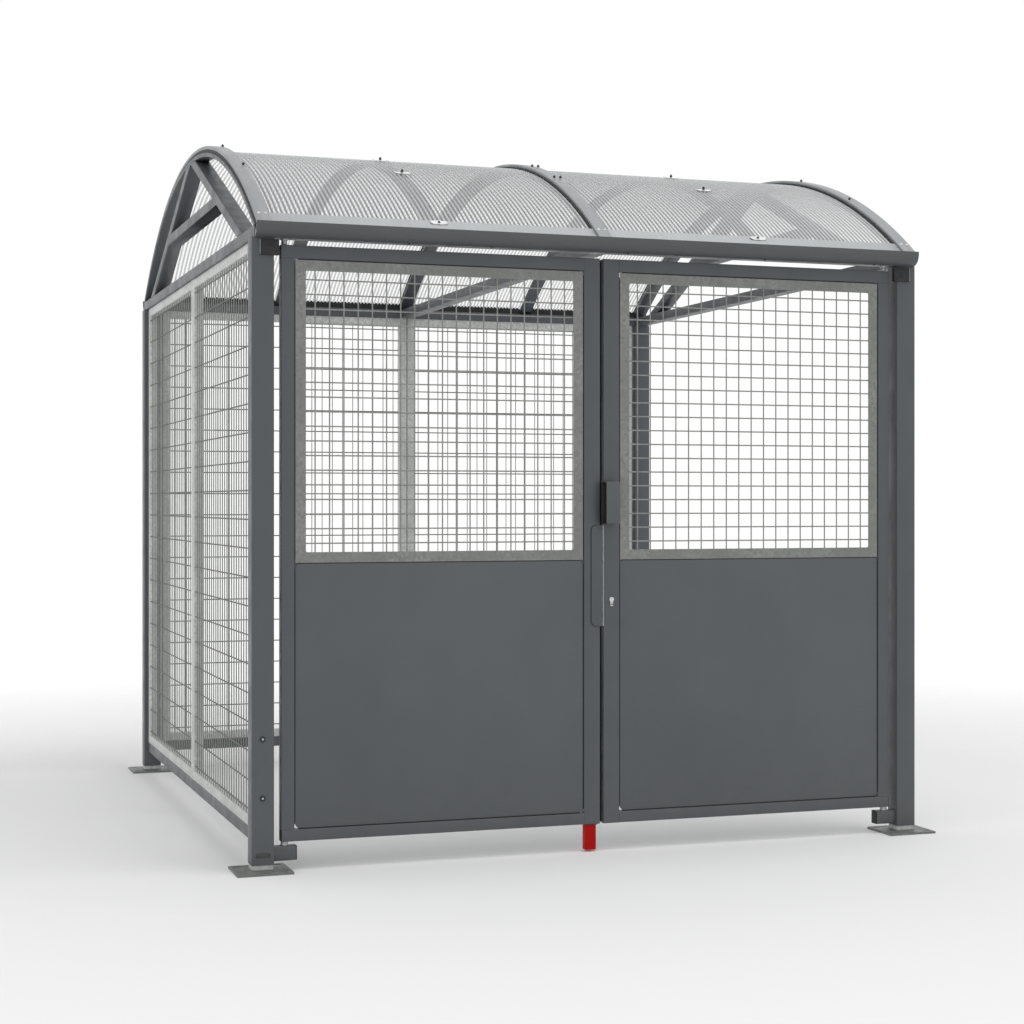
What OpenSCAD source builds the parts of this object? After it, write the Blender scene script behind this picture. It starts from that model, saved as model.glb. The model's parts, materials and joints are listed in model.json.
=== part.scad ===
/* [Overall] */
// Width over the outer faces of the end posts, along X
width = 2520; // [2200:10:3100]
// Depth over the outer faces of the front and rear posts, along Y
depth = 2850; // [2350:10:3450]
// Height of the undersides of the roof beams above the floor
eave_h = 2148; // [1900:1:2600]
// Height of the arches' undersides above the tops of the roof beams
roof_rise = 424; // [340:4:520]

/* [Posts and feet] */
// Side of the square posts
post_w = 76; // [60:1:100]
// Side of the square foot plates
foot_w = 190; // [160:1:240]
// Thickness of a foot plate
foot_t = 8; // [6:0.5:14]
// Height of the bare neck between foot plate and painted post
neck_h = 18; // [10:1:40]
// Side of the square neck
neck_w = 70; // [40:1:74]
// Width of the slots in the foot plates
slot_w = 14; // [10:1:18]
// End to end length of the slots
slot_len = 30; // [24:1:36]
// Distance between the middles of a foot plate's slots, both ways
slot_pitch = 140; // [130:1:144]

/* [Beams and rails] */
// Width of roof beams, arches and gable legs, across the gable
beam_w = 60; // [40:1:70]
// Height of the roof beams
beam_h = 40; // [35:1:60]
// Width of the lower rails, across the wall
rail_w = 40; // [36:1:50]
// Height of the lower rails
rail_h = 45; // [35:1:60]
// Height of the undersides of the lower rails above the floor
rail_z = 92; // [60:1:180]
// Distance of lower rails and wall panels in from the posts' outer faces
wall_in = 18; // [10:1:24]
// Thickness of the gable legs and collars, in the gable's plane
leg_t = 40; // [30:1:55]
// Distance from the posts' outer faces to the inner side of a gable leg's foot
leg_foot_in = 348; // [280:1:440]
// Height of a collar's underside above the tie beam's top
collar_up = 173; // [120:1:220]

/* [Roof] */
// Thickness of the rolled bars of the arches
arch_t = 16; // [8:1:25]
// Distance from the posts' outer faces to the inner side of an arch's foot
arch_foot_in = 26.6; // [20:0.1:34]
// Thickness of the roof sheets
sheet_t = 12; // [8:1:20]
// Overhang of the sheets past the posts' front and rear faces
sheet_over = 32; // [20:1:34]
// Gap between the two sheets, under the middle cover
sheet_gap = 2; // [1:1:10]
// Height of the roof covers above the sheets
cover_t = 14; // [6:1:20]
// Width of the roof covers
cover_w = 50; // [40:1:64]
// Thickness of the trims along the eaves
trim_t = 5; // [3:0.5:8]
// Width of the trim along the front eave, measured in plan
trim_w = 73; // [50:1:90]
// Width of the trim along the rear eave, measured in plan
rear_trim_w = 30; // [20:1:90]
// Thickness of the rubber seals between roof beams and sheets
seal_t = 12; // [6:1:20]
// Distance of the seals in from the posts' outer faces
seal_in = 25; // [3:1:26]

/* [Gutters] */
// Depth of a gutter, measured out from the posts
gutter_d = 48; // [46:1:60]
// Radius of a gutter's rounded lower corner
gutter_r = 44; // [20:1:45]
// Thickness of a gutter's walls
gutter_t = 3; // [2:0.5:5]
// Height from a gutter's underside up to the roof sheets' lower edges
gutter_below = 21; // [19:1:27]
// Height of a gutter's lip above the roof beams' tops
gutter_lip = 10; // [2:1:20]
// Clearance between a gutter's back and ends and the roof sheets
gutter_gap = 4; // [3:1:8]
// Distance of a gutter's ends in from the posts' outer faces
gutter_in = 9; // [0:1:12]

/* [Wall panels] */
// Width of a wall panel's frame bars, in the panel's plane
panel_bar = 36; // [25:1:45]
// Depth of a wall panel's frame bars, across the wall
panel_d = 36; // [20:1:40]
// Gap between a wall panel and the posts
panel_gap = 10; // [3:1:15]
// Gap between neighbouring wall panels
panel_joint = 4; // [1:1:10]
// Pitch of the wall meshes' upright wires
wall_pitch_u = 100; // [80:5:150]
// Pitch of the wall meshes' level wires
wall_pitch_z = 100; // [60:5:150]
// Thickness of the mesh wires
wire = 5; // [3:0.5:6]

/* [Doors] */
// Gap between a leaf's edge and its post
door_side_gap = 27; // [26:1:40]
// Gap between the two leaves
door_gap = 14; // [12:1:20]
// Height of the leaves' undersides above the floor
door_z = 99; // [94:1:160]
// Height of a leaf
door_h = 2028; // [1700:1:2030]
// Thickness of a leaf
door_t = 40; // [34:1:50]
// Setback of a leaf's face behind the posts' faces
door_back = 15; // [12:1:20]
// Width of the stile at the hinges
hinge_stile = 45; // [38:1:60]
// Width of the stile where the leaves meet
meet_stile = 60; // [52:1:70]
// Height of a leaf's top rail
top_rail = 45; // [36:1:60]
// Height of a leaf's bottom rail
bottom_rail = 40; // [36:1:60]
// Height of the mesh panel with its frame
mesh_panel_h = 1032; // [700:1:1200]
// Height of the middle rail behind the joint of the two panels
middle_rail = 40; // [36:1:60]
// Width of the flat frame round the door mesh
mesh_frame = 36; // [25:1:45]
// Radius of the flat frame's inner corners
mesh_corner_r = 12; // [5:1:20]
// Pitch of the door mesh's wires, both ways
door_pitch = 50; // [40:5:75]
// Thickness of the door's infill panels
infill_t = 4; // [3:0.5:5]
// Setback of the infill panels behind the leaf's face
infill_back = 3; // [1:0.5:5]
// Gap round an infill panel
infill_gap = 4; // [1:0.5:6]
// Gap between the upper and the lower infill panel
infill_joint = 3; // [1:0.5:8]
// Cut at the corners of the lower infill panel
panel_chamfer = 12; // [4:1:20]
// Width of the ledge that an infill panel sits on
ledge_w = 14; // [10:1:18]
// Thickness of that ledge
ledge_t = 4; // [3:0.5:6]
// Length of the opening left in the ledge at each corner
ledge_notch = 22; // [16:1:30]

/* [Hinges] */
// Distance from a leaf's edge to its pivot axis
pivot_in = 14; // [12:0.5:18]
// Radius of the pivot pins
pin_r = 6; // [4:0.5:8]
// Radial clearance of the pins in the leaves
pin_fit = 0.1; // [0.05:0.05:0.3]
// Depth of the pins' bores in the leaves
pin_depth = 30; // [20:1:36]
// Radius of the collar under a leaf
collar_r = 13; // [10:0.5:14]
// Radius of the collar over a leaf
top_collar_r = 10; // [8:0.5:14]
// Gap between the collar and the leaf it carries
seat_gap = 0.3; // [0.2:0.1:0.5]
// Height of a bottom hinge arm
arm_h = 50; // [40:1:56]
// Length of a bottom hinge arm
arm_len = 81; // [66:1:90]
// Height of a collar between arm and leaf
arm_gap = 14; // [10:1:20]
// Height of a hinge block
block_h = 53; // [40:1:60]
// Width of a hinge block on the post's face
block_w = 50; // [40:1:56]
// Thickness of a hinge block on the post's face
block_t = 8; // [5:1:12]
// Width of a hinge block's return beside the post
return_w = 16; // [10:1:16]
// Depth of a hinge block's return beside the post
return_d = 12; // [8:1:12]

/* [Door furniture] */
// Height of the handle's middle above the floor
handle_z = 1251; // [1100:1:1400]
// Height of the handle
handle_h = 150; // [120:1:180]
// Width of the handle
handle_w = 54; // [50:1:60]
// Depth of the handle
handle_d = 50; // [46:1:60]
// Thickness of the handle's walls
handle_t = 4; // [3:0.5:6]
// Reach of the handle over the gap between the leaves
handle_over = 8; // [0:1:8]
// Height of the lock cylinder's middle above the floor
lock_z = 903; // [850:1:1000]
// Height of the lock's cover plate
lock_plate_h = 362; // [300:1:362]
// Height of the cover plate's middle above the floor
lock_plate_z = 989; // [960:1:989]
// Width of the cover plate
lock_plate_w = 41; // [34:1:48]
// Radius of the cover plate's free corners
lock_plate_r = 20; // [5:1:24]
// Thickness of the cover plate
lock_plate_t = 3; // [2:0.5:5]
// Width of the drop bolt, along the leaf
bolt_w = 40; // [24:1:42]
// Depth of the drop bolt, across the leaf
bolt_d = 34; // [24:1:35]
// Length of the drop bolt
bolt_len = 420; // [300:5:600]
// Distance from the leaf's free edge to the middle of the drop bolt
bolt_in = 34; // [30:1:36]
// Gap between the lowered drop bolt and the floor
bolt_z = 6; // [4:1:20]
// Clearance round the drop bolt in the leaf
bolt_fit = 0.5; // [0.3:0.1:1]
// How far the drop bolt lifts
bolt_lift = 80; // [60:1:84]

/* [Blank plate] */
// Length of the blank plate on the front left post
plate_w = 50; // [30:1:60]
// Height of the blank plate
plate_h = 17; // [15:1:30]
// Thickness of the blank plate
plate_t = 1.5; // [1:0.5:3]
// Height of the blank plate's middle above the floor
plate_z = 60; // [50:1:200]

/* [Hidden] */
paint = "#54585c";
zinc = "#9a9c98";
silver = "#b9bcbd";
rubber = "#1d1d1e";
signal_red = "#ac1e1c";
clear = "#cfd6d6";

round_fn = 96;
arc_fn = 360;
hx = width/2;
hy = depth/2;
neck_z = foot_t;
post_z = foot_t + neck_h;
beam_top = eave_h + beam_h;

// the arches' undersides follow a circle through the inner sides of their feet and the crown
chord = hy - arch_foot_in;
arch_in_r = (chord*chord + roof_rise*roof_rise)/(2*roof_rise);
arch_r = arch_in_r + arch_t;
arch_cz = beam_top + roof_rise - arch_in_r;
sheet_r = arch_r + sheet_t;
sheet_edge_z = arch_cz + sqrt(arch_r*arch_r - (hy + sheet_over)*(hy + sheet_over));
cover_r = sheet_r + cover_t;
bay = (width - post_w)/4;
arch_x = [for (i = [0:4]) -hx + post_w/2 + i*bay];

// gable legs: their undersides run from their feet to the crown
leg_reach = hy - leg_foot_in;
leg_slope = atan(roof_rise/leg_reach);

// wall panels
side_len = depth - 2*post_w - 2*panel_gap;
back_len = width - 2*post_w - 2*panel_gap;
panel_z = rail_z + rail_h;
panel_h = eave_h - panel_z;
wire_in = 3;

// leaves, drawn closed
leaf_w = (width - 2*post_w - 2*door_side_gap - door_gap)/2;
leaf_x = -hx + post_w + door_side_gap;
leaf_y = -hy + door_back;
pivot_x = leaf_x + pivot_in;
pivot_y = leaf_y + door_t/2;
infill_w = leaf_w - hinge_stile - meet_stile - 2*infill_gap;
infill_x = leaf_x + hinge_stile + infill_gap;
infill_y = leaf_y + infill_back;
mesh_top = door_z + door_h - top_rail - infill_gap;
mesh_z = mesh_top - mesh_panel_h;
sheet_z = door_z + bottom_rail + infill_gap;
sheet_h = mesh_z - infill_joint - sheet_z;
middle_rail_z = mesh_z - infill_joint/2 - middle_rail/2;
meet_x = leaf_x + leaf_w - meet_stile;
leaf_end = leaf_x + leaf_w;
bolt_x = leaf_end - bolt_in;

// a block given by its low corner and its size
module block(low, size) {
    translate(low) cube(size);
}

// its child and the same child mirrored across the middle of the front
module both_sides() {
    children();
    mirror([1, 0, 0]) children();
}

// its child, drawn for the front, mirrored to the rear
module to_rear() {
    mirror([0, 1, 0]) children();
}

module post() {
    color(paint) block([-hx, -hy, post_z], [post_w, post_w, eave_h - post_z]);
}

module front_left_post() { post(); }
module front_right_post() { mirror([1, 0, 0]) post(); }
module rear_left_post() { to_rear() post(); }
module rear_right_post() { mirror([1, 0, 0]) to_rear() post(); }

// a slot through a foot plate, its length along X
module slot() {
    reach = (slot_len - slot_w)/2;
    translate([0, 0, -1]) linear_extrude(foot_t + 2) union() {
        for (s = [-1, 1]) translate([s*reach, 0]) circle(d = slot_w, $fn = round_fn);
        square([2*reach, slot_w], center = true);
    }
}

module foot() {
    translate([-hx + post_w/2, -hy + post_w/2, 0]) {
        difference() {
            translate([-foot_w/2, -foot_w/2, 0]) cube([foot_w, foot_w, foot_t]);
            for (sx = [-1, 1], sy = [-1, 1]) translate([sx*slot_pitch/2, sy*slot_pitch/2, 0]) slot();
        }
        translate([-neck_w/2, -neck_w/2, neck_z]) cube([neck_w, neck_w, neck_h]);
    }
}

module feet() {
    color(zinc) {
        both_sides() foot();
        both_sides() to_rear() foot();
    }
}

module tie_beam(x, inset) {
    color(paint) block([x - beam_w/2, -hy + inset, eave_h], [beam_w, depth - 2*inset, beam_h]);
}

module left_tie_beam() { tie_beam(arch_x[0], 0); }
module middle_tie_beam() { tie_beam(arch_x[2], beam_w); }
module right_tie_beam() { tie_beam(arch_x[4], 0); }

module front_eave_beam() {
    x = arch_x[0] + beam_w/2;
    color(paint) block([x, -hy, eave_h], [-2*x, beam_w, beam_h]);
}

module rear_eave_beam() { to_rear() front_eave_beam(); }

// a curved band over the whole span: radii r1 to r2, x1 to x2, kept where y_low < y < y_high and above z_low
module band(x1, x2, r1, r2, y_low, y_high, z_low) {
    intersection() {
        translate([x1, 0, arch_cz]) rotate([0, 90, 0]) difference() {
            cylinder(h = x2 - x1, r = r2, $fn = arc_fn);
            translate([0, 0, -1]) cylinder(h = x2 - x1 + 2, r = r1, $fn = arc_fn);
        }
        block([x1 - 1, y_low, z_low], [x2 - x1 + 2, y_high - y_low, arch_cz + r2 + 10 - z_low]);
    }
}

module arch(i) {
    color(paint) band(arch_x[i] - beam_w/2, arch_x[i] + beam_w/2, arch_in_r, arch_r, -hy, hy, beam_top);
}

module left_arch() { arch(0); }
module left_quarter_arch() { arch(1); }
module middle_arch() { arch(2); }
module right_quarter_arch() { arch(3); }
module right_arch() { arch(4); }

// the front leg of a gable brace, as an outline in Y and Z, drawn past the arch's underside
module leg_outline() {
    up = leg_t/cos(leg_slope);
    foot = leg_t/sin(leg_slope);
    polygon([[-leg_reach - foot, beam_top], [0, beam_top + roof_rise + up], [0, beam_top + roof_rise],
        [-leg_reach, beam_top]]);
}

// the collar reaches from leg to leg, into each of them
module collar_outline() {
    into = leg_t/4/sin(leg_slope);
    y_low = -leg_reach + collar_up/tan(leg_slope) - into;
    y_high = -leg_reach + (collar_up + leg_t)/tan(leg_slope) - into;
    z = beam_top + collar_up;
    polygon([[y_low, z], [-y_low, z], [-y_high, z + leg_t], [y_high, z + leg_t]]);
}

module gable_brace() {
    color(paint) intersection() {
        translate([arch_x[0] - beam_w/2, 0, 0]) rotate([90, 0, 90]) linear_extrude(beam_w) union() {
            leg_outline();
            mirror([1, 0]) leg_outline();
            collar_outline();
        }
        translate([arch_x[0] - beam_w, 0, arch_cz]) rotate([0, 90, 0])
            cylinder(h = 2*beam_w, r = arch_in_r, $fn = arc_fn);
    }
}

module left_gable_brace() { gable_brace(); }
module right_gable_brace() { mirror([1, 0, 0]) gable_brace(); }

module left_lower_rail() {
    color(paint) block([-hx + wall_in, -hy + post_w, rail_z], [rail_w, depth - 2*post_w, rail_h]);
}

module rear_lower_rail() {
    color(paint) block([-hx + post_w, hy - wall_in - rail_w, rail_z], [width - 2*post_w, rail_w, rail_h]);
}

// positions of wires at a pitch, centred in a clear opening, the first more than half a pitch in
function wires(opening, pitch) = let (n = floor(opening/pitch) - 1) [for (i = [0:n]) (i - n/2)*pitch];

// level and upright wires of one thickness, w by h, centred
module wire_grid(w, h, pitch_u, pitch_z) {
    for (u = wires(w, pitch_u)) translate([u - wire/2, -h/2]) square([wire, h]);
    for (z = wires(h, pitch_z)) translate([-w/2, z - wire/2]) square([w, wire]);
}

module ring(w, h, bar) {
    difference() {
        square([w, h], center = true);
        square([w - 2*bar, h - 2*bar], center = true);
    }
}

// a framed mesh panel standing along X from its low corner, its outer side facing -Y
module wall_panel(len) {
    translate([len/2, 0, panel_h/2]) rotate([90, 0, 0]) {
        translate([0, 0, -wire_in]) linear_extrude(wire_in) ring(len, panel_h, panel_bar);
        translate([0, 0, -wire_in - wire]) linear_extrude(wire) union() {
            ring(len, panel_h, panel_bar);
            wire_grid(len - 2*panel_bar, panel_h - 2*panel_bar, wall_pitch_u, wall_pitch_z);
        }
        translate([0, 0, -panel_d]) linear_extrude(panel_d - wire_in - wire) ring(len, panel_h, panel_bar);
    }
}

module side_panel() {
    len = (side_len - panel_joint)/2;
    color(zinc) translate([-hx + wall_in, -hy + post_w + panel_gap + len, panel_z])
        rotate([0, 0, -90]) wall_panel(len);
}

module left_front_wall_mesh() { side_panel(); }
module left_rear_wall_mesh() { to_rear() side_panel(); }

module back_panel() {
    len = (back_len - panel_joint)/2;
    color(zinc) to_rear() translate([-hx + post_w + panel_gap, -hy + wall_in, panel_z]) wall_panel(len);
}

module rear_left_wall_mesh() { back_panel(); }
module rear_right_wall_mesh() { mirror([1, 0, 0]) back_panel(); }

module roof_sheet() {
    x = arch_x[0] - cover_w/2 + 1;
    y = hy + sheet_over;
    color(clear, 0.35) band(x, -sheet_gap/2, arch_r, sheet_r, -y, y, arch_cz);
}

module left_roof_sheet() { roof_sheet(); }
module right_roof_sheet() { mirror([1, 0, 0]) roof_sheet(); }

// covers over both gable edges and over the joint of the sheets
module roof_covers() {
    y = hy + sheet_over;
    color(silver) for (i = [0, 2, 4])
        band(arch_x[i] - cover_w/2, arch_x[i] + cover_w/2, sheet_r, cover_r, -y, y, arch_cz);
}

module eave_trim(wide) {
    y = -hy - sheet_over;
    color(silver) both_sides()
        band(arch_x[0] + cover_w/2, -cover_w/2, sheet_r, sheet_r + trim_t, y, y + wide, arch_cz);
}

module front_eave_trim() { eave_trim(trim_w); }
module rear_eave_trim() { to_rear() eave_trim(rear_trim_w); }

// rubber strips that close the gap between an eave beam and the sheets, from arch to arch
module seal_row() {
    for (i = [0:3]) intersection() {
        block([arch_x[i] + beam_w/2, -hy + seal_in, beam_top], [bay - beam_w, seal_t, roof_rise]);
        translate([arch_x[i], 0, arch_cz]) rotate([0, 90, 0]) cylinder(h = bay, r = arch_r, $fn = arc_fn);
    }
}

module eave_seals() {
    color(rubber) {
        seal_row();
        to_rear() seal_row();
    }
}

// the gutter's section, its lower outer corner rounded
module gutter_outline(inset) {
    top = beam_top + gutter_lip;
    bottom = sheet_edge_z - gutter_below + inset;
    out = -hy - gutter_d + inset;
    r = gutter_r - inset;
    union() {
        block2([out, bottom + r], [-hy - inset - out, top - bottom - r]);
        intersection() {
            translate([out + r, bottom + r]) circle(r = r, $fn = round_fn);
            block2([out, bottom], [r, r]);
        }
        block2([out + r, bottom], [-hy - inset - out - r, r]);
    }
}

module block2(low, size) {
    translate(low) square(size);
}

module front_gutter() {
    len = width - 2*gutter_in;
    back_top = sheet_edge_z - gutter_gap;
    color(paint) difference() {
        translate([-len/2, 0, 0]) rotate([90, 0, 90]) linear_extrude(len) gutter_outline(0);
        translate([-len/2 + gutter_t, 0, 0]) rotate([90, 0, 90]) linear_extrude(len - 2*gutter_t) union() {
            gutter_outline(gutter_t);
            block2([-hy - gutter_d + gutter_t, beam_top], [gutter_d - 2*gutter_t, beam_h]);
        }
        // the back wall and the ends stop under the roof sheets
        block([-len/2 - 1, -hy - gutter_d + gutter_r, back_top], [len + 2, gutter_d, 2*beam_h]);
        for (x = [-len/2 - 1, len/2 - gutter_t])
            block([x, -hy - gutter_d + gutter_t, back_top], [gutter_t + 1, gutter_d, 2*beam_h]);
    }
}

module rear_gutter() { to_rear() front_gutter(); }

// upright ledge bars behind one infill panel, stopping short of its corners so that water runs out
module ledge(z, h) {
    y = infill_y + infill_t;
    x = infill_x - infill_gap;
    w = infill_w + 2*infill_gap;
    for (sx = [x, x + w - ledge_w])
        block([sx, y, z + ledge_notch], [ledge_w, ledge_t, h - 2*ledge_notch]);
}

// level ledge bar fixed along a rail
module level_ledge(z) {
    block([infill_x - infill_gap + ledge_notch, infill_y + infill_t, z],
        [infill_w + 2*infill_gap - 2*ledge_notch, ledge_t, ledge_w]);
}

// stiles, rails and ledges of the left leaf, with the bores of its two pivots
module leaf_frame() {
    inner_w = leaf_w - hinge_stile - meet_stile;
    inner_x = leaf_x + hinge_stile;
    difference() {
        union() {
            block([leaf_x, leaf_y, door_z], [hinge_stile, door_t, door_h]);
            block([meet_x, leaf_y, door_z], [meet_stile, door_t, door_h]);
            block([inner_x, leaf_y, door_z], [inner_w, door_t, bottom_rail]);
            block([inner_x, leaf_y, door_z + door_h - top_rail], [inner_w, door_t, top_rail]);
            block([inner_x, infill_y + infill_t, middle_rail_z],
                [inner_w, door_t - infill_back - infill_t, middle_rail]);
            ledge(mesh_z, mesh_panel_h);
            ledge(sheet_z, sheet_h);
            level_ledge(door_z + bottom_rail);
            level_ledge(door_z + door_h - top_rail - ledge_w);
        }
        for (z = [door_z - 1, door_z + door_h - pin_depth])
            translate([pivot_x, pivot_y, z])
                cylinder(h = pin_depth + 1, r = pin_r + pin_fit, $fn = round_fn);
    }
}

module left_door_frame() {
    hole_w = bolt_w + 2*bolt_fit;
    hole_d = bolt_d + 2*bolt_fit;
    color(paint) difference() {
        leaf_frame();
        block([bolt_x - hole_w/2, pivot_y - hole_d/2, door_z - 1],
            [hole_w, hole_d, bolt_z + bolt_len + bolt_lift + 6 - door_z]);
    }
}

module right_door_frame() {
    color(paint) mirror([1, 0, 0]) leaf_frame();
}

module rounded_hole(w, h, r) {
    union() {
        square([w - 2*r, h], center = true);
        square([w, h - 2*r], center = true);
        for (sx = [-1, 1], sz = [-1, 1])
            translate([sx*(w/2 - r), sz*(h/2 - r)]) circle(r = r, $fn = round_fn);
    }
}

module door_mesh() {
    w = infill_w - 2*mesh_frame;
    h = mesh_panel_h - 2*mesh_frame;
    color(zinc) translate([infill_x + infill_w/2, infill_y + infill_t, mesh_z + mesh_panel_h/2])
        rotate([90, 0, 0]) linear_extrude(infill_t) union() {
            difference() {
                square([infill_w, mesh_panel_h], center = true);
                rounded_hole(w, h, mesh_corner_r);
            }
            wire_grid(w, h, door_pitch, door_pitch);
        }
}

module left_door_mesh() { door_mesh(); }
module right_door_mesh() { mirror([1, 0, 0]) door_mesh(); }

module left_door_panel() {
    c = panel_chamfer;
    w = infill_w;
    h = sheet_h;
    color(paint) translate([infill_x, infill_y + infill_t, sheet_z])
        rotate([90, 0, 0]) linear_extrude(infill_t) polygon([
            [c, 0], [w - c, 0], [w, c], [w, h - c],
            [w - c, h], [c, h], [0, h - c], [0, c]
        ]);
}

module right_door_panel() { mirror([1, 0, 0]) left_door_panel(); }

// blocks round the posts' corners, in front of the leaves' top pivots
module hinge_blocks() {
    x = -hx + post_w;
    z = eave_h - 7 - block_h;
    color(rubber) both_sides() {
        block([x - block_w, -hy - block_t, z], [block_w + return_w, block_t, block_h]);
        block([x, -hy - block_t, z], [return_w, block_t + return_d, block_h]);
    }
}

// collar fixed under the eave beam, with the pin that enters the leaf's top
module top_pivots() {
    leaf_top = door_z + door_h;
    color(zinc) both_sides() translate([pivot_x, pivot_y, leaf_top - pin_depth + 5]) {
        cylinder(h = eave_h - leaf_top + pin_depth - 5, r = pin_r, $fn = round_fn);
        translate([0, 0, pin_depth - 2])
            cylinder(h = eave_h - leaf_top - 3, r = top_collar_r, $fn = round_fn);
    }
}

// arm fixed to the post, with the collar that carries the leaf and the pin that enters it
module bottom_pivots() {
    arm_top = door_z - arm_gap;
    collar_top = door_z - seat_gap;
    color(zinc) both_sides() {
        block([-hx + post_w, pivot_y - door_t/2, arm_top - arm_h], [arm_len, door_t, arm_h]);
        translate([pivot_x, pivot_y, arm_top]) {
            cylinder(h = collar_top - arm_top, r = collar_r, $fn = round_fn);
            cylinder(h = arm_gap + pin_depth - 5, r = pin_r, $fn = round_fn);
        }
    }
}

// pull handle: a box open towards the left leaf
module door_handle() {
    x = -leaf_end - handle_over;
    z = handle_z - handle_h/2;
    color(paint) difference() {
        block([x, leaf_y - handle_d, z], [handle_w, handle_d, handle_h]);
        block([x - 1, leaf_y - handle_d + handle_t, z + handle_t],
            [handle_w - handle_t + 1, handle_d - 2*handle_t, handle_h - 2*handle_t]);
    }
}

// profile cylinder: a round plug over a narrow tail
module lock_cylinder() {
    plug_r = 8.5;
    tail_w = 10;
    tail_drop = 19.5;
    out = 4;
    x = -leaf_end + meet_stile/2;
    color(zinc) translate([x, leaf_y, lock_z]) rotate([90, 0, 0]) linear_extrude(out) union() {
        circle(r = plug_r, $fn = round_fn);
        translate([-tail_w/2, -tail_drop]) square([tail_w, tail_drop]);
        translate([0, -tail_drop]) circle(d = tail_w, $fn = round_fn);
    }
}

// plate on the left leaf that reaches across the gap
module lock_cover_plate() {
    corner = lock_plate_r;
    x1 = leaf_end + door_gap - 6;
    color(paint) translate([0, leaf_y, lock_plate_z])
        rotate([90, 0, 0]) linear_extrude(lock_plate_t) union() {
        block2([x1 - lock_plate_w + corner, -lock_plate_h/2], [lock_plate_w - corner, lock_plate_h]);
        block2([x1 - lock_plate_w, -lock_plate_h/2 + corner], [corner, lock_plate_h - 2*corner]);
        for (s = [-1, 1]) translate([x1 - lock_plate_w + corner, s*(lock_plate_h/2 - corner)])
            circle(r = corner, $fn = round_fn);
    }
}

module drop_bolt() {
    color(signal_red) block([bolt_x - bolt_w/2, pivot_y - bolt_d/2, bolt_z], [bolt_w, bolt_d, bolt_len]);
}

module blank_plate() {
    color(silver) block([-hx + post_w/2 - plate_w/2, -hy - plate_t, plate_z - plate_h/2],
        [plate_w, plate_t, plate_h]);
}

front_left_post();
front_right_post();
rear_left_post();
rear_right_post();
feet();
left_tie_beam();
middle_tie_beam();
right_tie_beam();
front_eave_beam();
rear_eave_beam();
left_arch();
left_quarter_arch();
middle_arch();
right_quarter_arch();
right_arch();
left_gable_brace();
right_gable_brace();
left_lower_rail();
rear_lower_rail();
left_front_wall_mesh();
left_rear_wall_mesh();
rear_left_wall_mesh();
rear_right_wall_mesh();
left_roof_sheet();
right_roof_sheet();
roof_covers();
front_eave_trim();
rear_eave_trim();
eave_seals();
front_gutter();
rear_gutter();
left_door_frame();
left_door_mesh();
left_door_panel();
right_door_frame();
right_door_mesh();
right_door_panel();
hinge_blocks();
top_pivots();
bottom_pivots();
door_handle();
lock_cylinder();
lock_cover_plate();
drop_bolt();
blank_plate();
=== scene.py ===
import json
import math

import bmesh
import bpy
from mathutils import Matrix, Vector


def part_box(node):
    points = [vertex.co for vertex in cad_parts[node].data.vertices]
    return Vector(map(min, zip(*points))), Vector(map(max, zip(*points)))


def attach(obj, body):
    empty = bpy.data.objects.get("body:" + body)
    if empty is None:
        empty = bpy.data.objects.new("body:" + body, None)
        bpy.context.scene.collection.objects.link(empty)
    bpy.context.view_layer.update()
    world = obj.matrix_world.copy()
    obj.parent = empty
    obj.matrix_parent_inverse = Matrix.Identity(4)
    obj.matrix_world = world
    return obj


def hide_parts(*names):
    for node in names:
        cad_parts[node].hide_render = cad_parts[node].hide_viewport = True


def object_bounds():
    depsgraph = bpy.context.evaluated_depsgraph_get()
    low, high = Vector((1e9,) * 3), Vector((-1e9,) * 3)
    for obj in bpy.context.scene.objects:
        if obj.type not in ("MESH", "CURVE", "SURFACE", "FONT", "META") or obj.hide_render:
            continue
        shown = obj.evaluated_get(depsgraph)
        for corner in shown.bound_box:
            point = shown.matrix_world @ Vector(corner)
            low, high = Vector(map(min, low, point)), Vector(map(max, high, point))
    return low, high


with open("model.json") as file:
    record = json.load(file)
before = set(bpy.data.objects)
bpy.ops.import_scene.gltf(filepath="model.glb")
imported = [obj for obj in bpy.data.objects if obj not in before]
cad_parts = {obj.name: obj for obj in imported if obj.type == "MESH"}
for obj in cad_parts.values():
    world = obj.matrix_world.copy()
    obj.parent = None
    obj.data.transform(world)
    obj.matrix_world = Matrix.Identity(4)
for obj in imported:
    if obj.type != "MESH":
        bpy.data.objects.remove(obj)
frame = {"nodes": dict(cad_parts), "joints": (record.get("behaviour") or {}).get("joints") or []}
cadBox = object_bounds()
high = Vector(cadBox[1])
print("frame loaded")


# finishes

def newFinish(name, color, rough, metal=0.0):
    mat = bpy.data.materials.new(name)
    mat.use_nodes = True
    shader = mat.node_tree.nodes["Principled BSDF"]
    shader.inputs["Base Color"].default_value = (*color, 1)
    shader.inputs["Roughness"].default_value = rough
    shader.inputs["Metallic"].default_value = metal
    return mat, mat.node_tree, shader


def srgb(r, g, b):
    # screen colours, 0 to 255, as the shader wants them
    return tuple(((c / 255 + 0.055) / 1.055) ** 2.4 if c > 10 else c / 255 / 12.92 for c in (r, g, b))


def shade(color, factor):
    return tuple(min(1, c * factor) for c in color)


def addNode(tree, kind, **values):
    node = tree.nodes.new("ShaderNode" + kind)
    for key, value in values.items():
        setattr(node, key, value)
    return node


def feed(shader, name, value):
    shader.id_data.links.new(value, shader.inputs[name])


def mathNode(tree, operation, *values):
    node = addNode(tree, "Math", operation=operation)
    for socket, value in enumerate(values):
        if isinstance(value, float):
            node.inputs[socket].default_value = value
        else:
            tree.links.new(value, node.inputs[socket])
    return node.outputs[0]


def ownPlace(tree):
    # the point in the object's own metres
    return addNode(tree, "TexCoord").outputs["Object"]


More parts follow.
